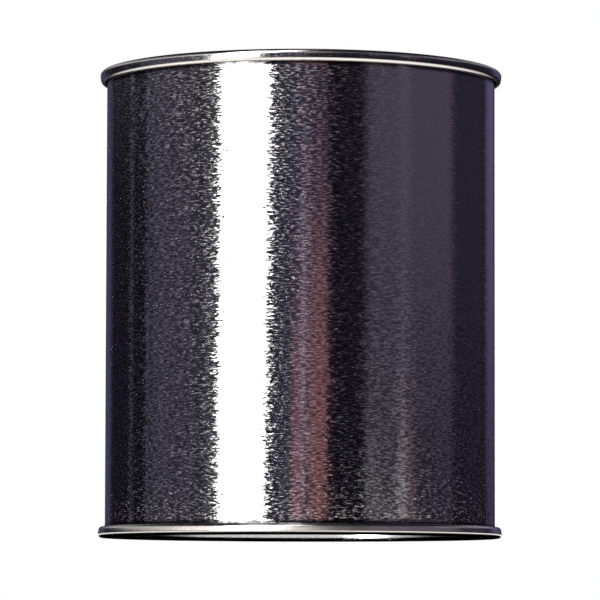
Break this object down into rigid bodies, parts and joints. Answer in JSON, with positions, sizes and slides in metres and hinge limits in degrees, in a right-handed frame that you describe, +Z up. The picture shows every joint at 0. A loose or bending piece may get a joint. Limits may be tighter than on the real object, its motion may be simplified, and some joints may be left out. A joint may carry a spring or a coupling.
{
  "type": "round tin can",
  "caption": "Shut round food can of plain tinplate: a smooth welded body with a beaded, double seamed end at top and bottom.",
  "frame": {"origin": "centre of the circle that the can stands on, under the bottom seam", "axes": "+Z up along the can's axis, -Y towards the front, and the body's weld at the back on +Y"},
  "size_m": [0.103, 0.103, 0.119],
  "materials": {
    "body_plate": "bright tinplate with a fine level rolling grain",
    "end_plate": "bright stamped tinplate"
  },
  "bodies": {
    "root": {"can_body": "body_plate", "top_end": "end_plate", "bottom_end": "end_plate"}
  },
  "joints": []
}
